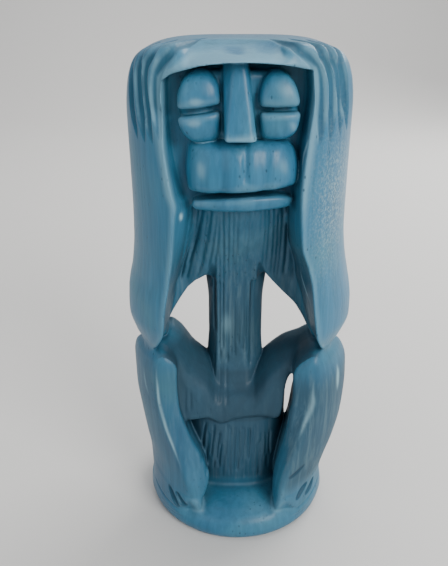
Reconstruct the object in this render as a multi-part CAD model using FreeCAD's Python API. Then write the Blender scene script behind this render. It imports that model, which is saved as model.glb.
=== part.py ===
"""Squatting tiki figure, carved from one round log of wood, holding its head with both hands.

Millimetres, +Z up. The origin is the centre of the base's underside, and the figure faces -Y.
Left and right are the figure's own: its left side is +X. Each carved mass is a solid of its own,
split from its neighbours where the carver's cuts run, so neighbours meet face to face.
"""
import FreeCAD
import Part

import math
import os

V = FreeCAD.Vector

# Driving dimensions
HEIGHT = 240.0
LOG = 49.5          # radius of the log that the figure is carved from
ELBOW_REACH = 56.0  # half width over the elbows, and over the knees
BASE_TOP = 18.0     # crown of the domed base
BASE_RIM = 9.0      # top of the base's upright rim
SEAT_TOP = 60.0     # underside of the lap
WAIST_FOOT = 86.0   # where the waist leaves the lap
KNEE = 102.0        # top of the knee
ELBOW = 99.0        # tip of the elbow, let into the knee
WAIST_TOP = 131.0   # where the waist meets the chest
CHIN = 176.0        # underside of the head
WRIST = 205.0       # where the forearm ends and the digits start
BROW = 231.0        # underside of the crown at the brow
FACE_X = 27.0       # half width of the face recess
FACE_Y = -27.0      # floor of the face recess
HAND_BACK = 14.0    # how far back the hand and forearm reach
DIGIT_DEPTH = 4.5   # how far the digits stand off the head
CROWN_RADIUS = 25.0 # the bare patch between the fingertips
GAP = 0.25          # half of a V cut between two digits
DIGIT_EDGES = [-52, -47, -40, -32.5, -24, -14]  # the cuts beside the left hand's digits, in degrees from +X
TOE_RADIUS = 40.0   # where the toes start, from the log's axis

SECTION_POINTS = 12

# The log's outline: height, half width, half depth
ENVELOPE = [
    (-1, LOG + 0.5, LOG), (20, LOG + 0.5, LOG), (45, LOG + 1.5, LOG), (70, ELBOW_REACH - 2, LOG),
    (88, ELBOW_REACH, LOG), (97, ELBOW_REACH - 2, LOG), (103, LOG + 2.5, LOG - 0.5),
    (110, ELBOW_REACH - 2, LOG), (122, ELBOW_REACH, LOG), (136, ELBOW_REACH - 2, LOG),
    (152, LOG + 1.5, LOG), (172, LOG + 0.5, LOG), (195, LOG + 0.5, LOG), (212, LOG + 0.5, LOG),
    (224, LOG - 1.5, LOG - 1), (232, LOG - 6, LOG - 4), (237, LOG - 12, LOG - 9),
    (HEIGHT, LOG - 20, LOG - 15),
]


def oval(z, x, y, a, b, turn=0.0, square=2.0):
    """A closed level section at height z: half axes a and b, turned by turn degrees, squarer as square grows."""
    points = []
    for i in range(SECTION_POINTS):
        t = 2 * math.pi * i / SECTION_POINTS
        u = a * math.copysign(abs(math.cos(t)) ** (2 / square), math.cos(t))
        v = b * math.copysign(abs(math.sin(t)) ** (2 / square), math.sin(t))
        c, s = math.cos(math.radians(turn)), math.sin(math.radians(turn))
        points.append(V(x + u * c - v * s, y + u * s + v * c, z))
    curve = Part.BSplineCurve()
    curve.interpolate(points, PeriodicFlag=True)
    return Part.Wire(curve.toShape())


def stack(sections, ruled=False):
    """A solid through level sections, each given as oval()'s arguments."""
    return Part.makeLoft([oval(*s) for s in sections], True, ruled)


def limb(joints):
    """A solid through round sections square to its line: each joint is (x, y, z, radius)."""
    places = [V(*j[:3]) for j in joints]
    wires = []
    for i, (place, joint) in enumerate(zip(places, joints)):
        ahead = places[min(i + 1, len(places) - 1)] - places[max(i - 1, 0)]
        wires.append(Part.Wire(Part.makeCircle(joint[3], place, ahead)))
    return Part.makeLoft(wires, True)


def block(x0, x1, y0, y1, z0, z1):
    return Part.makeBox(x1 - x0, y1 - y0, z1 - z0, V(x0, y0, z0))


def level_prism(points, z0, z1):
    """An upright prism over a plan outline."""
    outline = Part.makePolygon([V(x, y, z0) for x, y in points + points[:1]])
    return Part.Face(outline).extrude(V(0, 0, z1 - z0))


def body_of(shape):
    """The largest solid of a shape."""
    return max(shape.Solids, key=lambda s: s.Volume)


def clear_of(shape, *tools):
    """The shape with each tool cut away, where they could touch."""
    for tool in tools:
        if shape.BoundBox.intersect(tool.BoundBox):
            shape = shape.cut(tool)
    return shape


def mirrored(shape):
    return shape.mirror(V(0, 0, 0), V(1, 0, 0))


def make_log():
    """The log's outer surface, less grow-and-shrink: everything carved lies inside it."""
    return stack([(z, 0, 0, a, b) for z, a, b in ENVELOPE], True)


def make_inner_log():
    """The log a digit's depth further in."""
    d = DIGIT_DEPTH
    return stack([(min(z, HEIGHT - d + (z - HEIGHT) * 0.9), 0, 0, a - d, b - d)
                  for z, a, b in ENVELOPE if z >= 152], True)


def make_base():
    """A thick disc with an eased foot and a top that is a low cap of a sphere."""
    foot = 3.0
    rise = BASE_TOP - BASE_RIM
    sphere = (LOG ** 2 + rise ** 2) / (2 * rise)
    middle = V(LOG / 2, 0, BASE_TOP - sphere + math.sqrt(sphere ** 2 - LOG ** 2 / 4))
    dome = Part.Arc(V(LOG, 0, BASE_RIM), middle, V(0, 0, BASE_TOP)).toShape()
    edges = [
        Part.makeLine(V(0, 0, 0), V(LOG - foot, 0, 0)),
        Part.Arc(V(LOG - foot, 0, 0), V(LOG - foot * 0.29, 0, foot * 0.29), V(LOG, 0, foot)).toShape(),
        Part.makeLine(V(LOG, 0, foot), V(LOG, 0, BASE_RIM)),
        dome,
        Part.makeLine(V(0, 0, BASE_TOP), V(0, 0, 0)),
    ]
    return Part.Face(Part.Wire(edges)).revolve(V(0, 0, 0), V(0, 0, 1), 360)


def make_seat():
    """The block that the figure sits on, between its legs."""
    return stack([
        (8, 0, 3, 27, 33, 0, 2.8), (24, 0, 4, 26, 31, 0, 2.8), (44, 0, 5, 28, 31, 0, 2.8),
        (SEAT_TOP, 0, 6, 30, 32, 0, 2.8),
    ])


def make_pelvis():
    """Lap and hips, from the seat up to the foot of the waist."""
    return stack([
        (SEAT_TOP, 0, 6, 32, 33, 0, 2.6), (67, 0, 6, 34, 34, 0, 2.4), (77, 0, 6, 27, 29, 0, 2.2),
        (WAIST_FOOT, 0, 5, 15, 19, 0, 2.2),
    ])


def make_waist():
    return stack([
        (WAIST_FOOT, 0, 5, 13.5, 17, 0, 2.4), (108, 0, 6, 13, 15, 0, 2.4),
        (WAIST_TOP, 0, 5, 14.5, 18, 0, 2.4),
    ])


def make_torso():
    """Chest and upper back in one, before they are split."""
    return stack([
        (WAIST_TOP, 0, 5, 16, 20, 0, 2.4), (142, 0, 6, 25, 26, 0, 2.4), (156, 0, 7, 31, 32, 0, 2.4),
        (CHIN, 0, 8, 34, 36, 0, 2.4),
    ])


def make_forearm():
    """From the elbow on the knee up to the wrist beside the cheek."""
    return stack([
        (ELBOW, 44, -17, 6, 9, 0, 2.2), (106, 44, -16, 11, 15, 0, 2.6), (120, 43.5, -15, 14, 19, 0, 3),
        (138, 43, -14, 15, 22, 0, 3.2), (160, 42, -13, 14.5, 24.5, 0, 3.4), (185, 41, -12, 13.5, 26, 0, 3.6),
        (WRIST, 41, -12, 13, 26, 0, 3.6),
    ])


def make_upper_arm():
    """From the shoulder down to the elbow, behind the forearm."""
    return limb([(20, 8, 164, 22), (30, 5, 147, 19), (38, -2, 130, 14), (43, -9, 115, 9)])


def make_thigh():
    """From the hip up and forward to the knee."""
    return limb([(12, 12, 68, 17), (26, 0, 78, 16.5), (38, -12, 86, 15), (44, -19, 90, 11)])


def make_shin():
    """Shin and calf in one slab that follows the log's side and runs in towards the foot."""
    return stack([
        (10, 33, -27, 9.5, 21, -34, 2.4), (30, 35.5, -23, 10, 22, -27, 2.4), (50, 39, -19, 10.5, 22, -17, 2.4),
        (72, 42, -18, 13, 20, -8, 2.2), (88, 43, -18, 14, 17.5, 0, 2.2), (97, 43.5, -18, 12, 15, 0, 2.2),
        (KNEE, 44, -18, 8, 10, 0, 2.0),
    ])


def make_foot():
    """A broad foot turned out along the rim, highest at the instep."""
    return stack([
        (BASE_RIM - 3, 31.5, -33, 12, 18.5, -31, 2.3), (14, 31, -33, 11.5, 18, -31, 2.3),
        (19, 30.5, -31, 10, 16, -31, 2.2), (27, 31, -28, 7, 11, -31, 2.0),
    ])


def split_foot(foot):
    """The foot's instep, and its front edge cut into toes."""
    inside = Part.makeCylinder(TOE_RADIUS, 60, V(0, 0, -5))
    front = body_of(foot.cut(inside))
    edges = [-72, -59, -52, -46, -40, -28]
    slit = math.degrees(GAP / LOG)
    toes = [front.common(wedge(start + slit, end - slit, 20, LOG * 1.3, 0, 40))
            for start, end in zip(edges, edges[1:])]
    return body_of(foot.common(inside)), Part.makeCompound([body_of(t) for t in toes if t.Solids])


def wedge(start, end, inner, outer, z0, z1):
    """An upright wedge about the log's axis between two angles in degrees, measured from +X."""
    a, b = math.radians(start), math.radians(end)
    corners = [(inner, a), (outer, a), (outer, b), (inner, b)]
    return level_prism([(r * math.cos(t), r * math.sin(t)) for r, t in corners], z0, z1)


def make_digits(log, inner_log):
    """Thumb and four fingers, side by side from the wrist up over the head's edge."""
    shell = log.cut(inner_log)
    digits = []
    for start, end in zip(DIGIT_EDGES, DIGIT_EDGES[1:]):
        slit = math.degrees(GAP / LOG)
        part = wedge(start + slit, end - slit, CROWN_RADIUS, LOG * 1.3, WRIST, HEIGHT + 1)
        digits.append(body_of(shell.common(part)))
    return Part.makeCompound(digits)


def make_digit_space(inner_log):
    """Everything that the digits of one hand may fill, with no cuts between them."""
    return wedge(DIGIT_EDGES[0], DIGIT_EDGES[-1], CROWN_RADIUS, LOG * 1.3, WRIST, HEIGHT + 2).cut(inner_log)


def make_hand(inner_log, head):
    """The palm under the digits, against the side of the head."""
    return inner_log.common(block(FACE_X, LOG + 10, -42, HAND_BACK, WRIST, BROW)).cut(head)


def make_head(hand_space):
    """The head without its crown: the recess floor in front, and the skull behind."""
    skull = stack([(CHIN, 0, -3, 60, 45), (186, 0, -1, 61, 49), (BROW, 0, 0, 62, 53)])
    whole = skull.common(block(-LOG - 5, LOG + 5, FACE_Y, LOG + 5, CHIN, BROW))
    return clear_of(whole, hand_space, mirrored(hand_space))


def make_brow():
    """The forehead band in front of the crown, with an arched lower edge over the face."""
    arch_radius, arch_top, half_width = 86.0, BROW + 2.5, 31.5
    whole = block(-half_width, half_width, -LOG - 5, FACE_Y, BROW - 4, HEIGHT + 1)
    arch = Part.makeCylinder(arch_radius, LOG, V(0, -LOG - 5, arch_top - arch_radius), V(0, 1, 0))
    return whole.cut(arch)


def make_crown():
    """The top of the head, above and behind the brow."""
    return block(-LOG - 5, LOG + 5, -42, LOG + 5, BROW, HEIGHT + 1)


def face_block(x, z, half_width, half_height, front, square=3.0, lean=0.0):
    """A rounded boss on the recess floor: a loft forward from the floor to its front face."""
    def slice_at(y, share):
        wire = oval(0, x, z, half_width * share, half_height * share, 0, square)
        wire.rotate(V(0, 0, 0), V(1, 0, 0), 90)
        wire.translate(V(0, y, lean * (FACE_Y - y)))
        return wire
    depth = FACE_Y - front
    steps = [(0, 1.0), (0.45, 0.98), (0.8, 0.88), (1.0, 0.62)]
    return Part.makeLoft([slice_at(FACE_Y - depth * d, share) for d, share in steps], True)


def make_nose():
    """A long wedge that widens and stands out towards its tip."""
    tip, root, top = -47.0, -41.0, BROW + 3
    bottom = 206.0
    def outline(z, half_width, front):
        ridge = half_width * 0.55
        points = [(-half_width, FACE_Y), (-half_width, front + 4), (-ridge, front), (ridge, front),
                  (half_width, front + 4), (half_width, FACE_Y)]
        return Part.makePolygon([V(x, y, z) for x, y in points + points[:1]])
    return Part.makeLoft([outline(bottom, 6.6, tip), outline(219, 5.4, -44.5), outline(top, 3.6, root)], True)


def write(name, shape):
    shape.exportStep(f"parts/{name}.step")
    print(f"{name:20s} solids {len(shape.Solids)} valid {shape.isValid()} volume {shape.Volume:9.0f}")


def main():
    os.makedirs("parts", exist_ok=True)
    log, inner_log = make_log(), make_inner_log()
    split = block(-60, 60, -60, 6, 0, HEIGHT + 1)

    # Uncut masses. Further down, each gives way to the ones it meets and is cut back to the log.
    base, seat, pelvis, waist, torso = make_base(), make_seat(), make_pelvis(), make_waist(), make_torso()
    foot, shin, thigh, forearm, upper_arm = make_foot(), make_shin(), make_thigh(), make_forearm(), make_upper_arm()
    arms = [forearm, upper_arm, mirrored(forearm), mirrored(upper_arm)]
    legs = [shin, thigh, mirrored(shin), mirrored(thigh)]
    hand_space = block(FACE_X, LOG + 10, -LOG - 5, HAND_BACK, WRIST, BROW)
    head, brow, crown = make_head(hand_space), make_brow(), make_crown()

    def finish(whole, *neighbours):
        return body_of(clear_of(whole, *neighbours).common(log))

    instep, toes = split_foot(finish(foot, base, seat))
    digits, digit_space = make_digits(log, inner_log), make_digit_space(inner_log)
    hands = [digit_space, mirrored(digit_space), hand_space, mirrored(hand_space)]
    torso = finish(torso, *arms)

    nose = clear_of(make_nose(), brow)
    lower_lid = face_block(16.6, 210.2, 9.6, 4.6, -40.5, 2.8)
    upper_lid = face_block(17, 222.5, 9.8, 6.6, -41.5, 2.8)
    middle = {
        "base": base,
        "seat": body_of(clear_of(seat, base)),
        "pelvis": finish(pelvis, *legs),
        "waist": waist,
        "chest": body_of(torso.common(split)),
        "upper_back": body_of(torso.cut(split)),
        "head": finish(head, *arms),
        "crown": finish(crown, *hands[:2], brow),
        "brow": finish(brow, *hands),
        "nose": body_of(nose),
        "muzzle": body_of(clear_of(face_block(0, 195.0, 22.0, 10.2, -45.5, 3.0), nose)),
        "lower_lip": body_of(face_block(0, 180.3, 19.5, 3.8, -41.5, 2.8)),
    }
    sided = {
        "foot": instep,
        "toes": toes,
        "shin": finish(shin, base, seat, foot),
        "thigh": finish(thigh, seat, shin),
        "forearm": finish(forearm, thigh, shin),
        "upper_arm": finish(upper_arm, forearm, thigh),
        "hand": body_of(make_hand(inner_log, head)),
        "digits": digits,
        "upper_eyelid": body_of(clear_of(upper_lid, nose, brow)),
        "lower_eyelid": body_of(clear_of(lower_lid, nose)),
    }
    for name, shape in middle.items():
        write(name, shape)
    for name, shape in sided.items():
        write("left_" + name, shape)
        write("right_" + name, mirrored(shape))


main()
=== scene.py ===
import math

import bpy
import numpy as np
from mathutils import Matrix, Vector


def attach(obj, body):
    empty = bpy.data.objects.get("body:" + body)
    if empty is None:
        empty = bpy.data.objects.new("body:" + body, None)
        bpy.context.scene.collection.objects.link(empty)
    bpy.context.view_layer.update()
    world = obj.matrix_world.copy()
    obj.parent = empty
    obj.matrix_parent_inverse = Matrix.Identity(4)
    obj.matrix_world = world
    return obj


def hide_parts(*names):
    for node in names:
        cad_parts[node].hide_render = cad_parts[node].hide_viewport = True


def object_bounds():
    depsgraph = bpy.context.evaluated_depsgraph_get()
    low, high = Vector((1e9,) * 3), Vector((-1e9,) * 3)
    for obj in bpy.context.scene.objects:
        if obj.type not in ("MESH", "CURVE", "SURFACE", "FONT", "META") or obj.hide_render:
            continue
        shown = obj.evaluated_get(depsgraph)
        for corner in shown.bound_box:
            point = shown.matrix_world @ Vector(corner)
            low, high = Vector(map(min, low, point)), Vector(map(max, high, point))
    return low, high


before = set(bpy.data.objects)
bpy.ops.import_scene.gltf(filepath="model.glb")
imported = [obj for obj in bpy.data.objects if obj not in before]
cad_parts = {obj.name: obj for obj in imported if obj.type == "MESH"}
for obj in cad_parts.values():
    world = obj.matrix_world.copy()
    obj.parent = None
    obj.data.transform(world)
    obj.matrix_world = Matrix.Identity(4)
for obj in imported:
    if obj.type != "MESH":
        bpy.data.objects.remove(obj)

# One carved, painted log: a distance field on a grid, meshed as a single skin that is shared out to the CAD's nodes.
# Lengths are mm until the meshes are made. The figure faces -Y; s is -1 on its right side and 1 on its left.

CAD_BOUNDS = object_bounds()
show = bpy.context.scene.collection.objects.link
MM = 0.001
STEP = 0.55
GRID_MARGIN = ((-2.55, -3.0, -1.5), (2.55, 3.5, 3.0))


# ---- distance fields, negative inside; smin joins two and smax keeps what they share, blended over a width k

def smin(a, b, k):
    h = np.maximum(k - np.abs(a - b), 0)
    return np.minimum(a, b) - h * h / (4 * k)


def smax(a, b, k):
    h = np.maximum(k - np.abs(a - b), 0)
    return np.maximum(a, b) + h * h / (4 * k)


def unit(value):
    return np.clip(value, 0, 1)


def curve(t, points):
    """A smooth line through (t, value) points that never overshoots."""
    p = np.array(points, float)
    x, y = p[:, 0], p[:, 1]
    h = np.diff(x)
    d = np.diff(y) / h
    m = np.zeros(len(x))
    m[0], m[-1] = d[0], d[-1]
    for i in range(1, len(x) - 1):
        if d[i - 1] * d[i] > 0:
            w1, w2 = 2 * h[i] + h[i - 1], h[i] + 2 * h[i - 1]
            m[i] = (w1 + w2) / (w1 / d[i - 1] + w2 / d[i])
    t = np.clip(np.asarray(t, float), x[0], x[-1])
    i = np.clip(np.searchsorted(x, t, side="right") - 1, 0, len(x) - 2)
    s = (t - x[i]) / h[i]
    return (
        (2 * s**3 - 3 * s**2 + 1) * y[i] + (s**3 - 2 * s**2 + s) * h[i] * m[i]
        + (3 * s**2 - 2 * s**3) * y[i + 1] + (s**3 - s**2) * h[i] * m[i + 1]
    ).astype(np.float32)


def convex(points, soft):
    """Distance to a convex outline of (x, z) points, either way round, with softened corners."""
    p = np.array(points, float)
    twice_area = np.sum(p[:, 0] * np.roll(p[:, 1], -1) - np.roll(p[:, 0], -1) * p[:, 1])
    if twice_area < 0:
        p = p[::-1]

    def field(X, Z):
        total = None
        for a, b in zip(p, np.roll(p, -1, axis=0)):
            e = b - a
            n = np.array([e[1], -e[0]]) / np.hypot(*e)
            d = (X - a[0]) * n[0] + (Z - a[1]) * n[1]
            total = d if total is None else smax(total, d, soft)
        return total

    return field


def polygon(points):
    """Signed distance to any outline of (x, z) points."""
    p = np.array(points, float)

    def field(X, Z):
        X, Z = np.broadcast_arrays(X, Z)
        best = np.full(X.shape, 1e9)
        inside = np.zeros(X.shape, bool)
        for a, b in zip(p, np.roll(p, -1, axis=0)):
            ex, ez = b - a
            wx, wz = X - a[0], Z - a[1]
            t = unit((wx * ex + wz * ez) / (ex * ex + ez * ez))
            best = np.minimum(best, (wx - ex * t) ** 2 + (wz - ez * t) ** 2)
            cross = (a[1] > Z) != (b[1] > Z)
            with np.errstate(divide="ignore", invalid="ignore"):
                at = a[0] + (Z - a[1]) * ex / (ez if ez else 1e-9)
            inside ^= cross & (X < at)
        d = np.sqrt(best)
        return np.where(inside, -d, d).astype(np.float32)

    return field


def oval(X, Y, Z, table, power=2.0):
    """A stack of level ovals. table rows are (z, x, y, half x, half y)."""
    t = np.array(table, float)
    x, y, a, b = (curve(Z, np.stack([t[:, 0], t[:, i]], 1)) for i in range(1, 5))
    q = ((np.abs(X - x) / a) ** power + (np.abs(Y - y) / b) ** power + 1e-9) ** (1 / power)
    return ((q - 1) * np.minimum(a, b)).astype(np.float32)


def rod(X, Y, Z, joints, soft=4.0):
    """A limb through (x, y, z, radius) joints."""
    total = None
    for (ax, ay, az, ar), (bx, by, bz, br) in zip(joints, joints[1:]):
        ex, ey, ez = bx - ax, by - ay, bz - az
        t = unit(((X - ax) * ex + (Y - ay) * ey + (Z - az) * ez) / (ex * ex + ey * ey + ez * ez))
        d = np.sqrt((X - ax - ex * t) ** 2 + (Y - ay - ey * t) ** 2 + (Z - az - ez * t) ** 2) - (ar + (br - ar) * t)
        total = d if total is None else smin(total, d, soft)
    return total


# ---- the log

# (z, half width) down each side, and (z, depth) down the front
LOG_SIDE = {
    -1: [
        (0, 48.6), (9, 49.2), (20, 48.6), (32, 48.4), (45, 50.2), (58, 52.0), (75, 53.8), (90, 53.9), (97, 52.9),
        (103, 50.4), (108, 52.6), (118, 55.2), (128, 54.4), (140, 51.6), (155, 50.0), (172, 49.6), (212, 49.8),
        (241, 49.8),
    ],
    1: [
        (0, 48.6), (9, 49.2), (22, 48.2), (32, 50.6), (45, 54.4), (60, 57.0), (74, 57.6), (86, 57.0), (96, 53.6),
        (102, 50.2), (107, 53.2), (116, 56.4), (124, 56.0), (136, 53.4), (148, 51.0), (162, 49.6), (212, 49.2),
        (241, 49.2),
    ],
}
LOG_FRONT = [(0, 48.5), (9, 49.5), (60, 49.5), (90, 49.0), (104, 48.0), (118, 49.0), (160, 49.5), (241, 49.5)]


DOME_HALF = {-1: 49.8, 1: 49.0}
DOME_BACK = 50.5
DOME_FOOT, DOME_RISE = 207, 33.4


def log_field(X, Y, Z):
    """The log the figure is carved from, bulging at the elbows and knees, with a squarish dome on top."""
    half = np.where(X < 0, curve(Z, LOG_SIDE[-1]), curve(Z, LOG_SIDE[1]))
    side = (np.sqrt((X / half) ** 2 + (Y / curve(Z, LOG_FRONT)) ** 2) - 1) * 49
    across = np.abs(X) / np.where(X < 0, DOME_HALF[-1], DOME_HALF[1])
    back = np.maximum(Y, 0) / DOME_BACK
    top = DOME_FOOT + DOME_RISE * np.maximum(1 - (across**4 + back**4), 0.0004) ** 0.25
    slope = np.sqrt(1 + across**6 * 3.0)
    return smax(side, (Z - top) / slope, 7.0)


# the brow's lower edge, (x, z), and how steeply the bevel above it leans back, (x, rise over run)
BROW_LINE = [
    (-45, 262), (-36, 250), (-32.5, 232), (-30.2, 227.2), (-26.6, 229.4), (-21.2, 231.1), (-14.9, 232.7),
    (-8, 233.5), (0, 233.9), (8, 233.6), (14.7, 233.0), (21.2, 231.8), (26.5, 230.6), (28.5, 232), (32, 250),
    (45, 262),
]
BEVEL = [
    (-36, 6), (-30, 5.5), (-26.7, 4.0), (-24, 1.5), (-20, 0.5), (-13, 0.29), (-2, 0.225), (8, 0.32), (13.8, 0.6),
    (17, 1.8), (21, 4.0), (30, 6),
]


def forehead(X, Y, Z):
    """The flat bevel above the brow, negative below it."""
    slope = curve(X, BEVEL)
    rim = -np.sqrt(49.5**2 - np.minimum(np.abs(X), 44) ** 2)
    return (Z - curve(X, BROW_LINE) - slope * (Y - rim)) / np.sqrt(1 + slope**2)


# ---- masses

# (z, distance from the middle) of the forearms' inner edges, and how far the walls inside them lean
INNER_EDGE = {
    -1: [
        (98, 44), (108, 38), (117, 34.6), (125, 34.0), (141, 31.4), (158, 29.0), (172, 27.7), (177, 26.9),
        (182.5, 28.2), (192.4, 30.0), (202.5, 31.2), (212.5, 31.6), (222, 31.4), (232, 30.9),
    ],
    1: [
        (98, 44), (106, 39), (114, 35.6), (127, 33.4), (141, 31.6), (150, 29.0), (159, 25.6), (173, 24.0),
        (183, 23.7), (190, 24.1), (199, 24.9), (207, 25.8), (215, 26.8), (222, 27.2), (232, 26.2),
    ],
}
INNER_LEAN = {
    -1: [
        (100, 0.04), (115, 0.06), (125, 0.13), (140, 0.19), (155, 0.33), (167, 0.45), (173, 0.48), (181, 0.3),
        (195, 0.24), (232, 0.2),
    ],
    1: [(100, 0.04), (125, 0.12), (140, 0.2), (150, 0.2), (160, 0.2), (168, 0.25), (180, 0.18), (232, 0.14)],
}
FOREARM_BACK = [(98, -22), (108, -15), (118, -13), (128, -10), (138, 0), (150, 10), (165, 14), (232, 14)]
ELBOW_Z = 100.0


def forearm(X, Y, Z, s):
    """Forearm and hand: the log's own surface outside, a sloping wall towards the face inside."""
    u = X * s
    lean = curve(Z, INNER_LEAN[s])
    wall = (curve(Z, INNER_EDGE[s]) - lean * (Y + 40) - u) / np.sqrt(1 + lean**2)
    d = smax(wall, Y - curve(Z, FOREARM_BACK), 3.0)
    elbow = ELBOW_Z - Z + 0.012 * (u - 46) ** 2
    return smax(d, elbow, 4.0)


def upper_arm(X, Y, Z, s):
    """From the shoulder down and forward to the elbow."""
    return rod(X * s, Y, Z, [
        (21, 20, 182, 19), (26, 18, 166, 18.5), (32, 10, 146, 16.5), (38.5, -3, 127, 14.0), (42.5, -13, 112, 10.5),
    ])


def torso(X, Y, Z):
    """Chest, shoulders and back in one, with a shallow groove down the spine."""
    d = oval(X, Y, Z, [
        (108, -1.5, 8, 31, 29), (118, -1.5, 8, 32, 30), (128, -1.5, 8, 33, 32), (136, -1, 8, 35, 36),
        (150, 0, 8, 38, 38), (168, 0, 8, 40, 38), (186, 0, 8, 40, 40),
    ], 2.4)
    bulge = curve(Z, [(125, 0.003), (140, 0.005), (155, 0.011), (172, 0.013)])
    edge = curve(Z, [(108, -11.0), (116, -12.0), (131, -14.2), (145, -19.0), (160, -24.5), (172, -28.5), (182, -29)])
    d = smax(d, edge + bulge * X * X - Y, 3.0)
    spine = 1.6 * np.exp(-(X / 2.4) ** 2) - 0.012 * X * X
    back = Y + spine - curve(Z, [(116, 17), (124, 21), (134, 28), (146, 37), (158, 43), (170, 45.5), (182, 45)])
    d = smax(d, back / 1.2, 6.0)
    return smax(smax(d, 111 - Z, 3), Z - 182, 3)


def waist(X, Y, Z):
    """The slim post between the two openings, flaring forward into the lap."""
    plan = convex([
        (-10.6, -13.2), (5.0, -13.2), (12.8, -5.4), (13.0, 9), (7, 18), (-9, 18), (-15.4, 9), (-15.4, -5.4),
    ], 1.4)
    narrow = curve(Z, [(76, 0.8), (86, 0.3), (100, -0.6), (118, -0.6), (132, 0.6)])
    below = np.maximum(90 - Z, 0)
    flare = 0.62 * below**2 / (9 + below) * unit(-Y / 8)
    d = (plan(X, Y + flare) - narrow) * 0.8
    return smax(smax(d, 54 - Z, 2), Z - 136, 2)


# (x, z) of the thighs' upper and lower edges, seen from the front
LAP_TOP = [
    (-52, 96), (-46, 102), (-40, 105.6), (-34.6, 106.6), (-30, 103.6), (-26.6, 99.0), (-23.6, 94.4), (-19.5, 90.4),
    (-15.4, 86.6), (-11, 80.5), (-4, 79), (4, 79), (8, 80), (10.5, 83.0), (14.4, 88.2), (19.5, 93.2), (24.5, 97.0),
    (32, 100.0), (37, 102.6), (43, 103), (52, 97),
]
LAP_FOOT = [
    (-52, 88), (-44, 80), (-36, 69), (-31, 63.5), (-27.5, 61.8), (-24, 61), (-16, 61.5), (-8, 57.8), (-1, 60.6),
    (12, 62), (18.5, 60.8), (21.4, 62.4), (22.4, 67), (23.2, 76), (24.6, 83), (27, 86.5), (31, 88), (38, 89.5),
    (52, 91),
]


def lap(X, Y, Z):
    """Thighs and hips in one: tubes from the hips up to the knees."""
    away = np.maximum(Y + 4, 0)
    top = Z - (curve(X, LAP_TOP) + 0.6 - np.maximum(-6 - Y, 0) ** 2 / 42.0 - 0.78 * away * away / (away + 5))
    behind = unit((Y + 16) / 22)
    under = curve(X, LAP_FOOT) * (1 - behind) + (60 + 0.02 * X * X) * behind - Z - 0.42 * np.maximum(Y + 2, 0)
    front = -28.4 + 0.12 * np.maximum(Z - 60, 0) - 0.11 * np.clip(-8 - X, 0, 20) - Y
    d = smax(top / 1.35, under / 1.2, 3.0)
    d = smax(d, front, 4.0)
    cleft = 2.5 * np.exp(-((X + 0.5) / 2.6) ** 2)
    d = smax(d, Y + cleft - (36 - 0.014 * X * X), 14.0)
    return smax(d, np.abs(X + 1) - 47 + 0.014 * (Y + 10) ** 2, 6.0)


# (z, distance from the middle, y) down each shin's ridge, and down the inner edge of its front facet
RIDGE = {
    -1: [
        (10, 27, -41.6), (20, 24, -43.4), (29, 24.3, -43.4), (38, 28.2, -41.8), (50, 31.5, -39.6), (62, 35.7, -37),
        (76, 38.6, -34.8), (97, 39.4, -33.4), (106, 41, -32),
    ],
    1: [
        (10, 26.5, -42), (18, 23, -44.4), (25, 21.8, -45), (45, 25.5, -43.6), (56, 29, -41.4), (66, 32, -39.4),
        (76, 35.6, -37), (86, 36.6, -36), (106, 39, -33),
    ],
}
EDGE = {
    -1: [
        (10, 23.4, -42.5), (17, 19, -40), (24, 15.6, -37.4), (30, 14.3, -35.5), (41, 17.2, -35), (52, 22.0, -35),
        (65, 26.8, -34.6), (74, 28.8, -33.6), (86, 29.4, -32.4), (106, 28, -31),
    ],
    1: [
        (10, 22.6, -42), (17, 19, -38.5), (22, 17.8, -36.6), (28, 18, -35.4), (41, 19.8, -35), (56, 23, -35),
        (67, 24.6, -34), (78, 26.3, -33), (106, 25, -31),
    ],
}


def foot_end(u, Y, Z):
    """Where the feet stop short of the base's rim."""
    return np.hypot(u, Y) - (45.0 + 0.42 * np.maximum(Z - 12.5, 0) + np.maximum(u - 25, 0) * 0.6)


def shin(X, Y, Z, s):
    """A facet between the ridge and the inner edge; outside the ridge, the log's own surface."""
    u = X * s
    r, e = np.array(RIDGE[s]), np.array(EDGE[s])
    ru, ry = curve(Z, r[:, :2]), curve(Z, r[:, [0, 2]])
    eu, ey = curve(Z, e[:, :2]), curve(Z, e[:, [0, 2]])
    du, dy = ru - eu, ry - ey
    size = np.sqrt(du * du + dy * dy)
    facet = ((u - ru) * dy - (Y - ry) * du) / size
    inner = (-(u - eu) + 0.16 * (Y - ey)) / 1.013
    back = Y - curve(Z, [(8, -10), (20, -13), (35, -8), (55, -3), (75, 0), (92, -2), (104, -8)])
    d = smax(facet, inner, 2.5)
    d = smax(d, back, 6.0)
    top = Z - (104.5 - 0.03 * (u - 44) ** 2 - 0.01 * (Y + 22) ** 2)
    d = smax(d, top, 5.0)
    d = smax(d, foot_end(u, Y, Z), 2.0)
    return smax(d, log_field(X, Y, Z), 4.0)


FOOT_CENTRE = {-1: (32.5, -32), 1: (33, -31.5)}
FOOT_TURN = math.radians(-31)
FOOT_HALF_WIDTH, FOOT_HALF_LENGTH = 11.5, 18


def foot(X, Y, Z, s):
    """The instep spreads forward and outward from the shin's foot, down to the rim."""
    u = X * s
    cx, cy = FOOT_CENTRE[s]
    c, n = math.cos(FOOT_TURN), math.sin(FOOT_TURN)
    p, q = (u - cx) * c + (Y - cy) * n, -(u - cx) * n + (Y - cy) * c
    d = (np.sqrt((p / FOOT_HALF_WIDTH) ** 2 + (q / FOOT_HALF_LENGTH) ** 2) - 1) * FOOT_HALF_WIDTH
    top = Z - (21.5 + 0.24 * (q + 10) - 0.028 * p * p)
    return smax(smax(d, top, 4.0), foot_end(u, Y, Z), 2.0)


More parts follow.
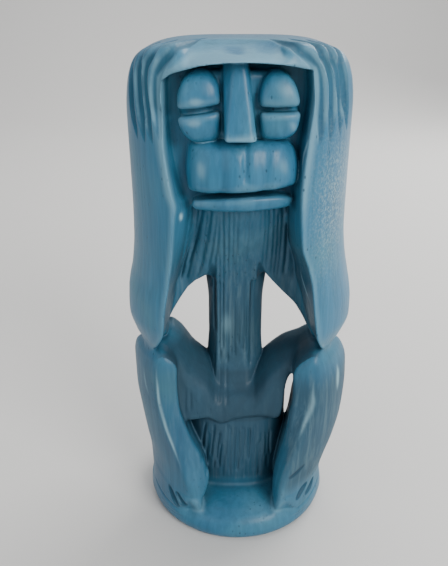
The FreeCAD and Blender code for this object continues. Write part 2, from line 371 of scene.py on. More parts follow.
def seat(X, Y, Z):
    """The trunk under the lap."""
    d = oval(X, Y, Z, [
        (8, -1, 2, 27, 29.5), (20, -1, 2, 25.6, 28), (40, -1, 2, 26.6, 28.4), (66, -1, 3, 27, 29),
    ], 2.9)
    return smax(d, Z - 68, 3)


def base(X, Y, Z):
    r = np.sqrt(X * X + Y * Y)
    edge = r - curve(Z, [(0, 46.6), (2.5, 48.3), (6, 49.2), (9, 49.4), (20, 49.4)])
    dome = Z - 18.0 * np.maximum(1 - (np.minimum(r, 49.4) / 49.6) ** 3.2, 0.0) ** (1 / 3.2)
    d = smax(edge, dome * 0.75, 3.0)
    return smax(d, -Z, 0.8)


RECESS_FLOOR = -29.0
CHIN_Z = 174.5


def skull(X, Y, Z):
    """The head behind the face, up to the floor of the face's recess."""
    front = RECESS_FLOOR - Y
    bottom = CHIN_Z - Z
    neck = curve(Z, [(170, 41.5), (176, 45.5), (186, 49.5), (200, 51.5), (245, 52)])
    r = (np.sqrt((X / 52) ** 2 + (Y / neck) ** 2) - 1) * 46
    return smax(smax(front, bottom, 3.0), r, 4.0)


# (x, z) of the underside of the brow
BROW_UNDER = [
    (-34, 225.6), (-30.4, 226.8), (-26.6, 229.2), (-21.2, 230.9), (-14.9, 232.5), (-8, 233.3), (0, 233.7),
    (8, 233.4), (14.7, 232.8), (21.2, 231.6), (26.5, 230.4), (31, 229.4),
]


def brow(X, Y, Z):
    return smax(curve(X, BROW_UNDER) - Z, Y + 20, 2.0)


# ---- face

FACE_BACK = -26  # where the raised parts of the face end, inside the skull

# front outlines of the raised parts, (x, z)
LID_UPPER = {
    -1: convex([
        (-24.8, 216.3), (-25.2, 219.0), (-24.4, 224.0), (-21.6, 229.0), (-17.0, 231.4), (-12.6, 230.6),
        (-9.2, 226.5), (-8.2, 221.0), (-8.4, 218.2), (-16.0, 216.8),
    ], 1.2),
    1: convex([
        (6.2, 218.6), (6.4, 224.0), (8.6, 229.0), (12.2, 231.3), (16.2, 230.2), (19.6, 226.6), (21.6, 222.0),
        (22.2, 218.6), (21.4, 217.4), (7.0, 217.2),
    ], 1.2),
}
LID_LOWER = {
    -1: convex([
        (-25.0, 213.2), (-8.4, 215.6), (-8.4, 206.0), (-10.5, 203.4), (-19.5, 203.2), (-22.6, 206.0), (-24.7, 210.0),
    ], 1.2),
    1: convex([
        (6.7, 215.2), (22.5, 215.4), (22.3, 210.7), (20.6, 206.6), (16.6, 204.4), (8.0, 204.4), (6.8, 207.3),
    ], 1.2),
}


LID_MIDDLE = {-1: -16.5, 1: 14.2}


def lid(X, Y, Z, s, upper):
    """An eyelid: a domed upper half or a flatter lower half of the eye's block."""
    cx = LID_MIDDLE[s]
    sides = (LID_UPPER if upper else LID_LOWER)[s](X, Z) + 0.05 * (Y + 40)
    if upper:
        front = -43.6 + 0.036 * np.maximum(Z - 219.5, 0) ** 2 + 0.03 * (X - cx) ** 2
        d = smax(sides, front - Y, 3.2)
    else:
        front = -42.6 + 0.05 * np.maximum(212.0 - Z, 0) ** 2 + 0.03 * (X - cx) ** 2
        d = smax(sides, front - Y, 2.4)
    return smax(d, Y - FACE_BACK, 1.0)


CHEEK = convex([
    (-21.6, 204), (-22.4, 212), (-21.6, 222), (-15, 230), (12.6, 230), (18.4, 224), (19.6, 212), (18.6, 204),
], 1.5)


EYE = {-1: (-16.6, 216.0), 1: (14.4, 216.2)}


def eyeball(X, Y, Z, s):
    """The eye itself, seen only in the slot between the lids."""
    cx, cz = EYE[s]
    return np.sqrt(((X - cx) / 8.2) ** 2 + ((Z - cz) / 8.0) ** 2 + ((Y + 28) / 9.6) ** 2) * 8 - 8


def cheek(X, Y, Z):
    """The shallow ground the lids and the nose stand on."""
    front = -37.4 + 0.02 * np.abs(X + 1) ** 2
    return smax(smax(CHEEK(X, Z), front - Y, 3.0), Y + 24, 1.0)


def nose(X, Y, Z):
    """A faceted wedge that widens and stands out more towards its tip."""
    h = (231.0 - Z) / 25.8
    middle = -41.8 - 6.2 * h
    left, right = -3.6 - 2.3 * h, 0.6 + 3.4 * h
    facet = middle - Y
    facet_left = (middle + 0.95 * (left - X) - Y) / 1.38
    facet_right = (middle + 0.95 * (X - right) - Y) / 1.38
    side_left = -7.5 + 0.7 * h - X
    side_right = X - (2.2 + 3.4 * h)
    d = smax(smax(facet, facet_left, 0.7), facet_right, 0.7)
    d = smax(smax(d, side_left, 1.0), side_right, 1.0)
    d = smax(d, 205.3 - Z, 0.8)
    return smax(smax(d, Z - 236, 1.0), Y - FACE_BACK, 1.0)


MUZZLE = convex([
    (-21.6, 203.0), (-18.6, 204.3), (17.6, 204.3), (21.2, 201.8), (23.2, 197.5), (23.8, 192.0), (22.8, 185.8),
    (0, 184.0), (-21.6, 183.0), (-23.0, 188.0), (-22.9, 196.0),
], 1.8)


def muzzle(X, Y, Z):
    """A wide cushion with a groove under the nose and a shallow dent on each side of it."""
    x = X - 0.4
    front = -46.2 + 0.022 * np.maximum(Z - 190, 0) ** 2 + 0.012 * np.maximum(189 - Z, 0) ** 2
    front = front + 0.026 * np.maximum(np.abs(x) - 5, 0) ** 2
    dent = 1.5 * np.exp(-((x - 1.0) / 1.3) ** 2) * curve(Z, [(188, 0), (192, 0.9), (199, 1.0), (204, 0.6)])
    dent = dent + 1.3 * np.exp(-((x + 8.5) / 3.2) ** 2) + 1.2 * np.exp(-((x - 8.5) / 3.0) ** 2)
    d = smax(MUZZLE(X, Z) + 0.05 * (Y + 40), front + dent - Y, 4.6)
    pit = convex([(-4.2, 206), (2.0, 206), (-1.0, 201.0)], 1.6)(X, Z)
    d = smax(d, -smax(pit, Y + 42.5, 2.0), 2.5)
    return smax(d, Y - FACE_BACK, 1.0)


LIP = convex([
    (-20.0, 179.2), (-6.6, 181.2), (6.4, 181.9), (16.5, 181.6), (22.2, 180.2), (20.4, 175.6), (6.5, 175.0),
    (-10.3, 174.4), (-19.2, 174.4), (-20.9, 176.8),
], 1.0)


def lower_lip(X, Y, Z):
    front = -41.2 + 0.012 * (X + 0.5) ** 2 + 0.09 * (Z - 179.4) ** 2
    d = smax(LIP(X, Z) + 0.04 * (Y + 40), front - Y, 1.6)
    return smax(d, Y - FACE_BACK, 1.0)


# ---- cuts

def groove(X, Y, Z, points, radii):
    """A gouge cut along a line of points, deeper or shallower with its radius."""
    best = None
    for (ax, ay, az), (bx, by, bz), ar, br in zip(points, points[1:], radii, radii[1:]):
        ex, ey, ez = bx - ax, by - ay, bz - az
        t = unit(((X - ax) * ex + (Y - ay) * ey + (Z - az) * ez) / (ex * ex + ey * ey + ez * ez + 1e-9))
        d = np.sqrt((X - ax - ex * t) ** 2 + (Y - ay - ey * t) ** 2 + (Z - az - ez * t) ** 2) - (ar + (br - ar) * t)
        best = d if best is None else np.minimum(best, d)
    return best


def on_log(points, lift):
    """Points moved onto the log's surface, then lifted off it a little."""
    p = np.array(points, float)
    for target in (0.0, 0.0, lift):
        g = np.stack([log_field(*(p + 0.3 * e).T) - log_field(*(p - 0.3 * e).T) for e in np.eye(3)], 1)
        g /= np.linalg.norm(g, axis=1)[:, None]
        p += g * (target - log_field(*p.T))[:, None]
    return p


# front outlines, (x, z), of the openings on each side of the waist
WINDOWS = {
    -1: [
        (-15.4, 135.6), (-18.4, 133.4), (-20.6, 132.0), (-24.4, 128.0), (-28.8, 121.8), (-33.2, 115.2), (-34.6, 110),
        (-35, 90), (-8, 70), (-8, 130),
    ],
    1: [
        (12.2, 137.4), (16.0, 132.2), (19.8, 127.6), (23.8, 123.0), (27.8, 118.4), (31.6, 113.2), (34.8, 107.6),
        (36.8, 100), (36, 90), (6, 70), (6, 131),
    ],
}


def opening(X, Y, Z, s):
    """An opening beside the waist, the same from front to back."""
    return polygon(WINDOWS[s])(X, Z)


def smooth_line(points, n=24):
    """Catmull-Rom points through a few given ones."""
    p = np.array(points, float)
    p = np.vstack([2 * p[0] - p[1], p, 2 * p[-1] - p[-2]])
    out = []
    for i in range(1, len(p) - 2):
        for t in np.linspace(0, 1, n // (len(p) - 3) + 1, endpoint=False):
            a, b, c, d = p[i - 1:i + 3]
            start = 2 * b + (c - a) * t
            out.append(0.5 * (start + (2 * a - 5 * b + 4 * c - d) * t**2 + (3 * b - a - 3 * c + d) * t**3))
    out.append(p[-2])
    return [tuple(v) for v in out]


# the cuts between the fingers, from the palm up onto the crown
DIGIT_CUTS = {
    -1: [
        [
            (-32, -38, 203.5), (-33, -37, 211), (-33.9, -36.2, 219), (-33.1, -36.9, 227), (-30.8, -38.8, 232.6),
            (-26.7, -40.5, 237), (-22.4, -35, 240), (-18, -22, 240), (-14, -14, 240),
        ],
        [
            (-35.5, -34.5, 203), (-37.3, -32.6, 211), (-38.4, -31.5, 223), (-37.6, -32.2, 231),
            (-34.1, -33.5, 236.5), (-29.5, -27, 239), (-26, -14, 240),
        ],
        [
            (-39, -30.5, 202.5), (-41.1, -27.9, 216), (-41.3, -27.5, 227), (-39.5, -26.5, 232.5), (-36, -20, 237),
            (-33.5, -8, 238.8),
        ],
        [
            (-42.5, -25.6, 203), (-44.7, -21.8, 214), (-44.3, -21.5, 226), (-43, -17, 232), (-40, -8, 235.6),
            (-38.5, 0, 236.6),
        ],
    ],
    1: [
        [
            (30.6, -38.8, 203), (30.7, -38.6, 212), (30.1, -39.1, 221), (28.7, -40.1, 229), (25.9, -42, 234),
            (20.4, -43.3, 238), (15.5, -37, 240), (11, -22, 240),
        ],
        [
            (35.4, -34.4, 203.6), (35.6, -34.1, 214), (34.8, -34.9, 225.5), (32.7, -36.9, 232), (29, -37.5, 236.5),
            (23.5, -29, 239.6), (19, -15, 240),
        ],
        [
            (40.1, -28.6, 205), (39.4, -29.6, 218), (37.5, -32, 229), (34, -33.5, 234.6), (29.5, -25, 238.6),
            (26.5, -10, 239.6),
        ],
        [
            (43.7, -22.6, 206), (42.4, -25.1, 216), (39.9, -28.8, 228), (37, -28, 233.4), (33.4, -18, 237.4),
            (31.5, -6, 238.6),
        ],
    ],
}


# short cuts and their radii: around the feet, between the toes, and on the base
STROKES = [
    ([(-46, -18, 17), (-39, -31, 12.6), (-31, -39, 11.2), (-22.5, -44.5, 10.6)], 0.9),
    ([(46, -18, 17), (40, -30, 12.8), (32, -38, 11.4), (24, -43.6, 10.8)], 0.9),
    ([(-35.8, -33.8, 23), (-33.3, -36.2, 17), (-31.1, -38.2, 13.2)], 1.7),
    ([(-31.6, -37.8, 22), (-29.0, -39.8, 17.5), (-26.4, -41.6, 14.6)], 1.9),
    ([(31.2, -37.8, 18.2), (33.3, -35.8, 21.5), (36.1, -32.8, 24)], 1.9),
    ([(36.3, -32.8, 17), (39.0, -29.3, 19), (40.6, -27.0, 22)], 1.8),
    ([(26.1, -42.8, 36.5), (29.3, -41.0, 37.8), (33.6, -38.4, 41)], 1.2),
    ([(10.5, -36, 15), (11.5, -43, 13), (13, -47, 10), (12.4, -48, 6)], 0.9),
    ([(13.5, -30, 17), (16, -38, 15), (17.5, -43, 12.5)], 0.7),
]
# cuts where the waist runs up into the chest
CREASES = [
    ([(-14.6, -9, 127), (-13.6, -13, 132), (-12.6, -16.6, 138), (-11.6, -19.6, 144)], 1.9),
    ([(12.0, -9, 128), (11.2, -13, 133), (10.4, -16.6, 138), (9.6, -19.6, 144)], 1.9),
]
# lines of painted highlight, paler paint: the points, the half width and the strength
HIGHLIGHT_LINES = [
    (
        [
            (-39.4, -31.7, 97), (-39.3, -32.6, 87), (-38.7, -33.3, 76), (-35.7, -35.4, 62), (-31.5, -38.1, 49.4),
            (-28.2, -39.8, 38),
        ],
        0.75, 1.0,
    ),
    ([(-46.8, -24.1, 92), (-46.2, -25.2, 82), (-43.8, -28.7, 74)], 0.8, 0.45),
    ([(35.9, -34.6, 91), (35.7, -35.7, 83), (35.6, -36.5, 76), (32, -38.6, 66.5), (28.9, -40.3, 57)], 1.0, 0.6),
    ([(48.7, -22.9, 93), (49.9, -24, 84), (50.3, -23.9, 75)], 1.3, 0.8),
    ([(-25.6, -36.0, 173.6), (-25.1, -34.3, 171.5), (-25, -33.6, 170)], 1.1, 0.9),
    ([(25.8, -40.9, 206), (25.4, -40.1, 203), (24.5, -38.2, 198), (24.1, -39.6, 191)], 0.8, 0.8),
    ([(-5.6, -13.2, 117), (-5.6, -13.2, 108), (-5.4, -13.2, 99)], 2.2, 0.4),
    ([(-16.6, -41.5, 197), (-16.4, -43.6, 193.5), (-15.8, -43.6, 189)], 1.9, 0.4),
    ([(15.4, -44.6, 200), (17, -43.6, 196), (17.6, -42.8, 191)], 1.8, 0.5),
    ([(12.6, -41, 226), (16.6, -41.8, 222.5), (18.8, -41.6, 219.4)], 2.4, 0.4),
    ([(-21.4, -41, 219.6), (-17.8, -43.4, 219.6), (-13, -43.4, 219.8)], 1.2, 0.35),
    ([(-21.6, -41.4, 211), (-18.4, -42.3, 211.4), (-14.6, -42.4, 211.6)], 1.2, 0.35),
    ([(17.4, -42, 212.6), (19.8, -41.4, 210), (20, -40.8, 207.8)], 1.2, 0.4),
    ([(27.7, -21.6, 142), (30.1, -26.6, 135), (32.2, -33.8, 129)], 0.5, 0.6),
]
CUT_SHADE = []  # every cut made, as (points, radii, how dark the painted shade in it is)


def gouge_marks(X, Z, lines, width, depth):
    """Fine marks cut from the front. Each line is (top x, bottom x, top z, bottom z, bow, strength)."""
    push = np.zeros(np.broadcast_shapes(X.shape, Z.shape), np.float32)
    for xt, xb, zt, zb, bow, k in lines:
        t = unit((zt - Z) / (zt - zb))
        x = xt + (xb - xt) * t + bow * t * (1 - t) * 4
        ends = unit(np.minimum(zt - Z, Z - zb) / 3.0)
        push = np.maximum(push, k * ends * np.exp(-((X - x) / width) ** 2))
    return push * depth


# ---- the whole figure on a grid

LO, HI = (
    tuple(round(float(at) / MM + more, 1) for at, more in zip(corner, margin))
    for corner, margin in zip(CAD_BOUNDS, GRID_MARGIN)
)
AXES = [np.arange(a, b + STEP, STEP, dtype=np.float32) for a, b in zip(LO, HI)]
F = np.full([len(a) for a in AXES], 40.0, np.float32)


def window(lo, hi):
    """The part of the grid between two corners, and its coordinates."""
    spans = [(int(np.searchsorted(a, l)), int(np.searchsorted(a, h))) for a, l, h in zip(AXES, lo, hi)]
    cut = tuple(slice(max(first - 1, 0), last + 1) for first, last in spans)
    X, Y, Z = np.ix_(*[a[c] for a, c in zip(AXES, cut)])
    return cut, X, Y, Z


def add(shape, lo, hi, soft, *more):
    """Join a shape on, worked out between two corners of the grid."""
    cut, X, Y, Z = window(lo, hi)
    F[cut] = smin(F[cut], shape(X, Y, Z, *more).astype(np.float32), soft)


def carve(shape, lo, hi, soft, *more):
    cut, X, Y, Z = window(lo, hi)
    F[cut] = smax(F[cut], -shape(X, Y, Z, *more).astype(np.float32), soft)


def keep_inside(shape, lo, hi, soft):
    cut, X, Y, Z = window(lo, hi)
    F[cut] = smax(F[cut], shape(X, Y, Z).astype(np.float32), soft)


def cut_groove(points, radii, soft, cut_shade):
    cut, X, Y, Z = window(points.min(0) - 4, points.max(0) + 4)
    F[cut] = smax(F[cut], -groove(X, Y, Z, points, radii).astype(np.float32), soft)
    CUT_SHADE.append((points, radii, cut_shade))


def tapered(radius, along):
    return radius * (0.3 + 0.7 * np.sin(np.pi * along) ** 0.5)


def build_masses():
    add(base, (-52, -52, -2), (52, 52, 26), 0.5)
    add(seat, (-40, -36, 4), (40, 44, 70), 1.8)
    add(torso, (-45, -40, 112), (45, 52, 186), 1.0)
    for s in (-1, 1):
        add(upper_arm, (-60, -36, 96), (60, 46, 205), 3.0, s)
    for s in (-1, 1):
        carve(opening, (-40, -50, 66), (40, 53, 140), 1.2, s)
    add(waist, (-24, -34, 66), (22, 26, 140), 1.0)
    add(lap, (-60, -50, 40), (60, 44, 112), 1.0)
    for s in (-1, 1):
        add(shin, (-60, -52, 6), (60, 12, 108), 2.0, s)
        add(foot, (-52, -52, 8), (52, -6, 34), 3.0, s)
        add(forearm, (-60, -52, 94), (60, 24, 243), 1.0, s)
    add(skull, (-58, -34, 168), (58, 53, 243), 2.0)
    add(brow, (-40, -52, 222), (40, -12, 243), 0.6)


def build_face():
    lo, hi = (-30, -50, 172), (30, -20, 236)
    add(cheek, lo, hi, 2.0)
    for s in (-1, 1):
        add(eyeball, lo, hi, 0.8, s)
        add(lid, lo, hi, 1.2, s, True)
        add(lid, lo, hi, 1.2, s, False)
    add(muzzle, lo, hi, 1.0)
    add(nose, lo, hi, 1.2)
    add(lower_lip, lo, hi, 0.6)


def cut_gouge_marks():
    """Rows of fine marks on the chest, the waist, the lap and the seat's front."""
    rng = np.random.default_rng(7)
    chest = []
    for i in range(23):
        x = -26.0 + 2.3 * i + rng.uniform(-0.35, 0.35)
        k = rng.uniform(0.55, 1.0)
        if abs(x) < 8:
            chest.append((x, x * 0.9 - 0.8, 177, rng.uniform(84, 100), rng.uniform(-0.5, 0.5), k))
            continue
        drift = -5.0 if x < 0 else -2.2
        drift = drift * rng.uniform(0.8, 1.3)
        chest.append((x * 0.84, x * 0.96 + drift, rng.uniform(171, 178), rng.uniform(124, 140), 0.8, k))
    for i in range(9):
        x = -11.0 + 2.2 * i + rng.uniform(-0.3, 0.3)
        chest.append((
            x, x + rng.uniform(-0.8, 0.4), rng.uniform(140, 152), rng.uniform(82, 104), rng.uniform(-0.5, 0.5),
            rng.uniform(0.3, 0.9),
        ))
    for i in range(14):
        x = rng.uniform(-26, -5)
        chest.append((
            x, x + rng.uniform(-1.5, 0.5), rng.uniform(86, 92), rng.uniform(64, 74), 0.0, rng.uniform(0.3, 0.8),
        ))
    cut, X, Y, Z = window((-36, -36, 62), (36, -4, 178))
    near = np.minimum(opening(X, Y, Z, -1), opening(X, Y, Z, 1))
    keep = np.where(np.abs(X + 1) < 11, 1, unit((near - 1.0) / 4.0))
    F[cut] += gouge_marks(X, Z, chest, 0.75, 0.95) * keep
    wall = []
    for i in range(25):
        x = -18.5 + 1.5 * i + rng.uniform(-0.3, 0.3)
        start = rng.uniform(44, 60)
        wall.append((
            x * 0.92 + 1, x * 1.0, start, max(start - rng.uniform(16, 34), 21), rng.uniform(-0.5, 0.5),
            rng.uniform(0.4, 1.0),
        ))
    cut, X, Y, Z = window((-26, -36, 14), (26, -18, 64))
    F[cut] += gouge_marks(X, Z, wall, 0.6, 1.0)


def cut_lines():
    """The fingers, the toes, and the other single cuts."""
    for s in (-1, 1):
        for line in DIGIT_CUTS[s]:
            p = on_log(smooth_line(line), 0.6)
            along = np.concatenate([[0], np.cumsum(np.linalg.norm(np.diff(p, axis=0), axis=1))])
            r = 0.4 + 2.3 * unit(along / 10) ** 0.7 * unit((along[-1] - along) / 20) ** 0.6
            cut_groove(p, r, 0.8, 0.55)
    for line, r in STROKES:
        p = on_log(smooth_line(line, 12), 0.3)
        r = tapered(r, np.linspace(0, 1, len(p)))
        cut_groove(p, r, 0.6, 0.85 if r.max() > 1.15 else 0.3)
    for line, r in CREASES:
        p = np.array(smooth_line(line, 12))
        cut_groove(p, tapered(r, np.linspace(0, 1, len(p))), 0.6, 0.8)


build_masses()
build_face()
keep_inside(log_field, LO, HI, 1.2)
keep_inside(forehead, (-36, -52, 224), (36, 12, 243), 0.6)
cut_gouge_marks()
cut_lines()


# ---- surface mesh (surface nets)

def surface(field, origin, step):
    """Vertices and quads of the field's zero surface: one vertex in each grid cell it passes through."""
    inside = field < 0
    nx, ny, nz = field.shape
    cells = np.zeros((nx - 1, ny - 1, nz - 1), np.uint8)
    for dx in (0, 1):
        for dy in (0, 1):
            for dz in (0, 1):
                cells += inside[dx:nx - 1 + dx, dy:ny - 1 + dy, dz:nz - 1 + dz]
    ci = np.argwhere((cells > 0) & (cells < 8))
    index = np.full(cells.shape, -1, np.int32)
    index[tuple(ci.T)] = np.arange(len(ci))
    total = np.zeros((len(ci), 3), np.float32)
    count = np.zeros(len(ci), np.float32)
    corners = [(0, 0, 0), (1, 0, 0), (0, 1, 0), (0, 0, 1), (1, 1, 0), (1, 0, 1), (0, 1, 1), (1, 1, 1)]
    values = {c: field[ci[:, 0] + c[0], ci[:, 1] + c[1], ci[:, 2] + c[2]] for c in corners}
    for a in corners:
        for axis in range(3):
            if a[axis]:
                continue
            b = tuple(1 if i == axis else a[i] for i in range(3))
            va, vb = values[a], values[b]
            hit = (va < 0) != (vb < 0)
            t = np.where(hit, va / np.where(hit, va - vb, 1), 0)
            point = np.tile(np.array(a, np.float32), (len(ci), 1))
            point[:, axis] += t
            total += point * hit[:, None]
            count += hit
    verts = (ci + total / count[:, None]) * step + np.array(origin)
    quads = []
    for axis in range(3):
        u, v = [(1, 2), (2, 0), (0, 1)][axis]
        near, far = [slice(1, -1)] * 3, [slice(1, -1)] * 3
        near[axis], far[axis] = slice(0, -1), slice(1, None)
        first, second = inside[tuple(near)], inside[tuple(far)]
        e = np.argwhere(first != second)
        outward = first[tuple(e.T)]
        e = e + np.array([0 if i == axis else 1 for i in range(3)])
        corner = []
        for du, dv in ((0, 0), (1, 0), (1, 1), (0, 1)):
            c = e.copy()
            c[:, u] -= du
            c[:, v] -= dv
            corner.append(index[c[:, 0], c[:, 1], c[:, 2]])
        q = np.stack(corner, 1)
        q[~outward] = q[~outward][:, ::-1]
        quads.append(q)
    quads = np.concatenate(quads)
    quads = quads[(quads >= 0).all(1)]
    return verts, quads


def sample(field, origin, step, points):
    """The field at any points, trilinearly."""
    g = (points - np.array(origin)) / step
    i = np.clip(np.floor(g).astype(int), 0, np.array(field.shape) - 2)
    f = (g - i).astype(np.float32)
    share = [(1 - f[:, axis], f[:, axis]) for axis in range(3)]
    total = 0
    for dx in (0, 1):
        for dy in (0, 1):
            for dz in (0, 1):
                w = share[0][dx] * share[1][dy] * share[2][dz]
                total = total + w * field[i[:, 0] + dx, i[:, 1] + dy, i[:, 2] + dz]
    return total


VERTS, QUADS = surface(F, LO, STEP)

# ---- which mass each face belongs to

SPLIT_Y = 6      # chest in front, upper back behind
CROWN_Z = 231    # head below, crown above
PALM_Z = 205     # forearm below, hand and digits above
THIGH_X = 15     # pelvis inside, thighs outside
FAR = 9          # a distance that rules a node out
RAISED = 0.3     # lets the raised parts of the face win over the ground they stand on


def label(points):
    """Which node each point belongs to: the one whose shape it is nearest to or deepest in."""
    x, y, z = points.T.astype(np.float32)
    names, fields = [], []

    def put(name, d):
        names.append(name)
        fields.append(np.asarray(d, np.float32) + np.zeros(len(x), np.float32))

    put("base", base(x, y, z))
    put("seat", seat(x, y, z))
    put("waist", smax(waist(x, y, z), 80 - z, 0.1))
    t = torso(x, y, z)
    put("chest", np.maximum(t, y - SPLIT_Y))
    put("upper_back", np.maximum(t, SPLIT_Y - y))
    put("nose", nose(x, y, z) - RAISED)
    put("muzzle", muzzle(x, y, z) - RAISED)
    put("lower_lip", lower_lip(x, y, z) - RAISED)
    put("brow", brow(x, y, z))
    put("pelvis", lap(x, y, z) + np.maximum(np.abs(x) - THIGH_X, 0) * 0.6)
    k = skull(x, y, z)
    put("head", np.maximum(k, z - CROWN_Z))
    put("crown", np.maximum(k, CROWN_Z - z))
    for s, side in ((-1, "right"), (1, "left")):
        other = np.maximum(-x * s, 0) * 2  # keeps each side's nodes on their own side
        put(side + "_upper_eyelid", lid(x, y, z, s, True) - RAISED)
        put(side + "_lower_eyelid", lid(x, y, z, s, False) - RAISED)
        arm = forearm(x, y, z, s) + other
        palm = np.maximum(arm, PALM_Z - z)
        put(side + "_forearm", np.maximum(arm, z - PALM_Z))
        angle = np.degrees(np.arctan2(-y, x * s))
        finger = (angle > 14) & (angle < 56) & (np.hypot(x, y) > 24)
        put(side + "_hand", np.where(finger | (z > CROWN_Z), FAR, palm))
        tips = np.minimum(palm, np.where(z > PALM_Z, k, FAR)) - 1
        put(side + "_digits", np.where(finger & (x * s > 0), tips, FAR))
        put(side + "_upper_arm", upper_arm(x, y, z, s) + other)
        put(side + "_thigh", lap(x, y, z) + np.maximum(THIGH_X - x * s, 0) * 0.6)
        leg = shin(x, y, z, s) + other
        ankle = 27 + 0.25 * (-y - 20)
        f = np.minimum(leg, foot(x, y, z, s) + other)
        toes = (np.hypot(x, y) > 41) & (z < 24)
        put(side + "_shin", np.maximum(leg, ankle - z))
        put(side + "_foot", np.where(toes, FAR, np.maximum(f, z - ankle)))
        put(side + "_toes", np.where(toes, np.maximum(f, z - ankle), FAR))
    return names, np.argmin(np.stack(fields), 0)


def without_islands(who, least=250):
    """Give each small stray patch of faces to the mass that surrounds it."""
    edges = np.sort(np.concatenate([QUADS[:, [i, (i + 1) % 4]] for i in range(4)]), 1)
    face = np.tile(np.arange(len(QUADS)), 4)
    order = np.lexsort((edges[:, 1], edges[:, 0]))
    edges, face = edges[order], face[order]
    shared = (edges[1:] == edges[:-1]).all(1)
    a, b = face[:-1][shared], face[1:][shared]
    same = who[a] == who[b]
    p, q = a[same], b[same]
    root = np.arange(len(QUADS))
    while True:
        before = root.copy()
        low = np.minimum(root[p], root[q])
        np.minimum.at(root, root[p], low)
        np.minimum.at(root, root[q], low)
        root = root[root]
        if (root == before).all():
            break
    size = np.bincount(root, minlength=len(root))[root]
    largest = np.zeros(who.max() + 1, int)
    np.maximum.at(largest, who, size)
    stray = (size < least) & (size < largest[who])
    who = who.copy()
    while stray.any():
        left = stray.sum()
        for one, two in ((a, b), (b, a)):
            take = stray[one] & ~stray[two]
            who[one[take]] = who[two[take]]
            stray[one[take]] = False
        if stray.sum() == left:
            break
    return who


NAMES, WHO = label(VERTS[QUADS].mean(1))
WHO = without_islands(WHO)

# smooth normals from the field
h = STEP * 0.8
GRAD = np.stack([sample(F, LO, STEP, VERTS + e * h) - sample(F, LO, STEP, VERTS - e * h) for e in np.eye(3)], 1)
GRAD /= np.linalg.norm(GRAD, axis=1)[:, None] + 1e-9

# ---- what the paint has been through, and the light and shade painted on it, for each vertex

VX, VY, VZ = VERTS.T
ACROSS = np.abs(VX)
RADIUS = np.hypot(VX, VY)


def near_line(points, radii, reach):
    """Vertices near a line of points, and 1 at the line's surface fading to 0 over the reach."""
    lo, hi = points.min(0) - 4, points.max(0) + 4
    at = np.nonzero(((VERTS > lo) & (VERTS < hi)).all(1))[0]
    x, y, z = VERTS[at].T
    return at, np.exp(-(np.maximum(groove(x, y, z, points, radii), 0) / reach) ** 2)


# how deep in a crevice, for the painted shade there, and how sharp an edge, for edge wear and a painted highlight
CREVICE_REACH = ((1.2, 0.3), (3.0, 0.3), (7.0, 0.25), (13.0, 0.15))
EDGE_REACH = (1.6, 4.0)
CREVICE_SHADE = np.zeros(len(VERTS), np.float32)
for reach, weight in CREVICE_REACH:
    CREVICE_SHADE += weight * unit(1 - sample(F, LO, STEP, VERTS + GRAD * reach) / reach)
CREVICE_SHADE *= curve(VZ, [(0, 1), (170, 1), (182, 0.54), (243, 0.54)])
EDGE_WEAR_AND_HIGHLIGHT = sum(unit(1 - sample(F, LO, STEP, VERTS - GRAD * d) / -d) / 2 for d in EDGE_REACH)
EDGE_WEAR_AND_HIGHLIGHT *= curve(VZ, [(0, 1), (20, 0.9), (60, 0.6), (100, 0.45), (165, 0.45), (190, 1), (240, 1)])

# painted shade, darker: deep inside, facing inward, low down, on the lap, the left shin, the bevel's rim, the
# waist's sides
INWARD = unit(-1.6 * (GRAD[:, 0] * VX + GRAD[:, 1] * VY) / (RADIUS + 1))
DEEP_BY_Z = [(0, 0.3), (18, 0.35), (23, 0.95), (60, 1), (108, 1), (130, 0.75), (165, 0.5), (178, 0.25), (236, 0.12)]
INWARD_BY_Z = [(18, 0.3), (60, 0.8), (100, 1.0), (150, 0.9), (175, 0.45), (236, 0.2)]
LOW_BY_Z = [(0, 0.1), (20, 0.3), (50, 0.5), (85, 0.5), (100, 0.3), (106, 0.1), (120, 0.0)]
LEFT_SHIN_BY_Z = [(20, 0), (34, 1), (80, 1), (98, 0.2), (104, 0)]
LAP = unit((92 + 2 * np.clip(ACROSS - 10, 0, 9) - VZ) / 10) * unit((VZ - 56) / 3)
LAP *= unit((42 - ACROSS) / 8) * (VY > -31)
CROWN = unit((VZ - 229) / 5) * unit(-forehead(*VERTS.T) / 1.5 - 0.3)
SIDES = unit((np.abs(GRAD[:, 0]) - 0.5) * 2.4) * ((RADIUS < 24) & (VZ > 84) & (VZ < 138))
PAINTED_SHADE = np.maximum.reduce([
    unit((45 - RADIUS) / 14) * curve(VZ, DEEP_BY_Z) * (VZ < 236),
    INWARD * curve(VZ, INWARD_BY_Z),
    curve(VZ, LOW_BY_Z),
    1.2 * LAP,
    unit((VX - 20) / 6) * curve(VZ, LEFT_SHIN_BY_Z),
    0.35 * CROWN,
    1.25 * SIDES,
])

# painted shade in the cuts, where shins and seat meet the base, on the lap and the seat's wall
for points, radii, strength in CUT_SHADE:
    at, amount = near_line(points, radii, 0.7)
    CREVICE_SHADE[at] = np.maximum(CREVICE_SHADE[at], amount * strength)
LOW = np.nonzero((VZ < 26) & (VZ > 7))[0]
x, y, z = VERTS[LOW].T
above = np.maximum(base(x, y, z), 0)
contact_shade = 0
STANDING = ((shin(x, y, z, -1), 2.0, 1.0), (shin(x, y, z, 1), 1.6, 0.75), (seat(x, y, z), 2.8, 1.0))
for away, reach, strength in STANDING:
    contact_shade = np.maximum(contact_shade, strength * np.exp(-(above + np.maximum(away, 0)) / reach))
CREVICE_SHADE[LOW] = np.maximum(CREVICE_SHADE[LOW], contact_shade * (np.abs(x) < 26))
CREVICE_SHADE = np.maximum(CREVICE_SHADE, 0.52 * LAP)
WALL = unit((VZ - 19) / 4) * unit((66 - VZ) / 4) * unit((32 - RADIUS) / 3)
CREVICE_SHADE = np.maximum(CREVICE_SHADE, 0.45 * WALL)
